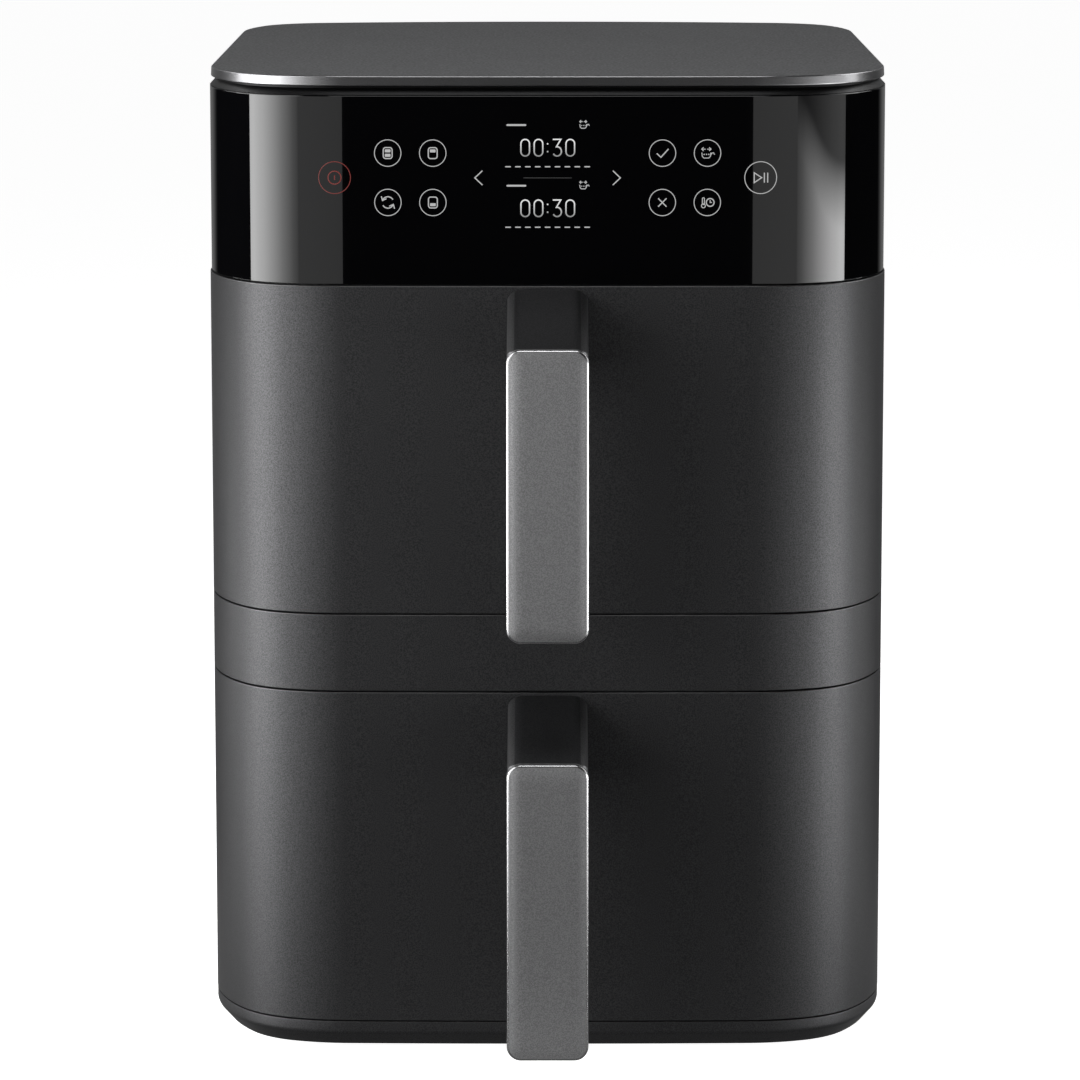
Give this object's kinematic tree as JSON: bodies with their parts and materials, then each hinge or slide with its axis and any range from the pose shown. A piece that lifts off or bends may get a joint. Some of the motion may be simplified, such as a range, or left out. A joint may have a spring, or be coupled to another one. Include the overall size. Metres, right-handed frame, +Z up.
{
  "type": "air fryer",
  "caption": "Tall dual-zone air fryer with two stacked pull-out drawers, each with its own handle, crisper plate, heater and fan, under a gloss touch panel and a flat metal lid.",
  "frame": {"origin": "on the floor under the middle of the whole object, handles included", "axes": "+Z up, -Y to the front with the handles, +X to the right seen from the front"},
  "size_m": [0.268, 0.409, 0.3862],
  "materials": {
    "charcoal_paint": "satin metallic charcoal paint on moulded plastic",
    "side_paint": "satin charcoal paint on moulded plastic",
    "lid_metal": "satin metallic grey",
    "grip_metal": "fine satin, light grey",
    "gloss_black": "high gloss black",
    "arm_plastic": "satin dark grey paint on moulded plastic",
    "dark_plastic": "fine moulded texture",
    "rubber": "matte",
    "silicone": "matte silicone",
    "sheet_steel": "rolled sheet",
    "pan_coating": "dark non-stick coating",
    "heater_steel": "heat darkened tube",
    "fan_aluminium": "stamped",
    "shaft_steel": "ground",
    "motor_steel": "zinc plated",
    "fan_plastic": "moulded",
    "sensor_steel": "drawn",
    "circuit_board": "solder mask",
    "component_black": "moulded",
    "wire": "sleeved",
    "fastener_steel": "plated"
  },
  "bodies": {
    "housing": {"front_band": "charcoal_paint", "side_shell_left": "side_paint", "side_shell_right": "side_paint", "top_cover": "lid_metal", "control_panel": "gloss_black", "top_neck": "gloss_black", "base_tray": "dark_plastic", "front_frame": "dark_plastic", "rear_cover": "dark_plastic", "feet": "rubber", "cord_gland": "rubber", "mid_deck": "sheet_steel", "electronics_tray": "sheet_steel", "upper_chamber_liner": "sheet_steel", "lower_chamber_liner": "sheet_steel", "upper_drawer_rails": "sheet_steel", "lower_drawer_rails": "sheet_steel", "upper_fan_guard": "sheet_steel", "lower_fan_guard": "sheet_steel", "upper_heater_coil": "heater_steel", "lower_heater_coil": "heater_steel", "upper_fan_motor": "motor_steel", "lower_fan_motor": "motor_steel", "upper_temp_sensor": "sensor_steel", "lower_temp_sensor": "sensor_steel", "touch_board": "circuit_board", "power_board": "circuit_board", "display_module": "component_black", "upper_drawer_switch": "component_black", "lower_drawer_switch": "component_black", "wire_harness": "wire", "housing_screws": "fastener_steel"},
    "upper_drawer": {"upper_drawer_front": "charcoal_paint", "upper_drawer_bracket": "dark_plastic", "upper_drawer_pan": "pan_coating", "upper_pan_rivets": "fastener_steel", "upper_handle_arm": "arm_plastic", "upper_handle_grip": "grip_metal", "upper_handle_screws": "fastener_steel"},
    "upper_crisper": {"upper_crisper_plate": "pan_coating", "upper_crisper_bumpers": "silicone"},
    "upper_fan": {"upper_fan_impeller": "fan_aluminium", "upper_fan_shaft": "shaft_steel", "upper_cooling_fan": "fan_plastic"},
    "lower_drawer": {"lower_drawer_front": "charcoal_paint", "lower_drawer_bracket": "dark_plastic", "lower_drawer_pan": "pan_coating", "lower_pan_rivets": "fastener_steel", "lower_handle_arm": "arm_plastic", "lower_handle_grip": "grip_metal", "lower_handle_screws": "fastener_steel"},
    "lower_crisper": {"lower_crisper_plate": "pan_coating", "lower_crisper_bumpers": "silicone"},
    "lower_fan": {"lower_fan_impeller": "fan_aluminium", "lower_fan_shaft": "shaft_steel", "lower_cooling_fan": "fan_plastic"}
  },
  "joints": [
    {"name": "upper_drawer_slide", "type": "slide", "parent": "housing", "child": "upper_drawer", "axis": [0, -1, 0], "range_m": [0, 0.235]},
    {"name": "upper_crisper_lift", "type": "slide", "parent": "upper_drawer", "child": "upper_crisper", "axis": [0, 0, 1], "range_m": [0, 0.07]},
    {"name": "upper_fan_spin", "type": "hinge", "parent": "housing", "child": "upper_fan", "pos_m": [0, 0.1455, 0.2411], "axis": [0, 1, 0], "continuous": true},
    {"name": "lower_drawer_slide", "type": "slide", "parent": "housing", "child": "lower_drawer", "axis": [0, -1, 0], "range_m": [0, 0.235]},
    {"name": "lower_crisper_lift", "type": "slide", "parent": "lower_drawer", "child": "lower_crisper", "axis": [0, 0, 1], "range_m": [0, 0.07]},
    {"name": "lower_fan_spin", "type": "hinge", "parent": "housing", "child": "lower_fan", "pos_m": [0, 0.1455, 0.0783], "axis": [0, 1, 0], "continuous": true}
  ]
}
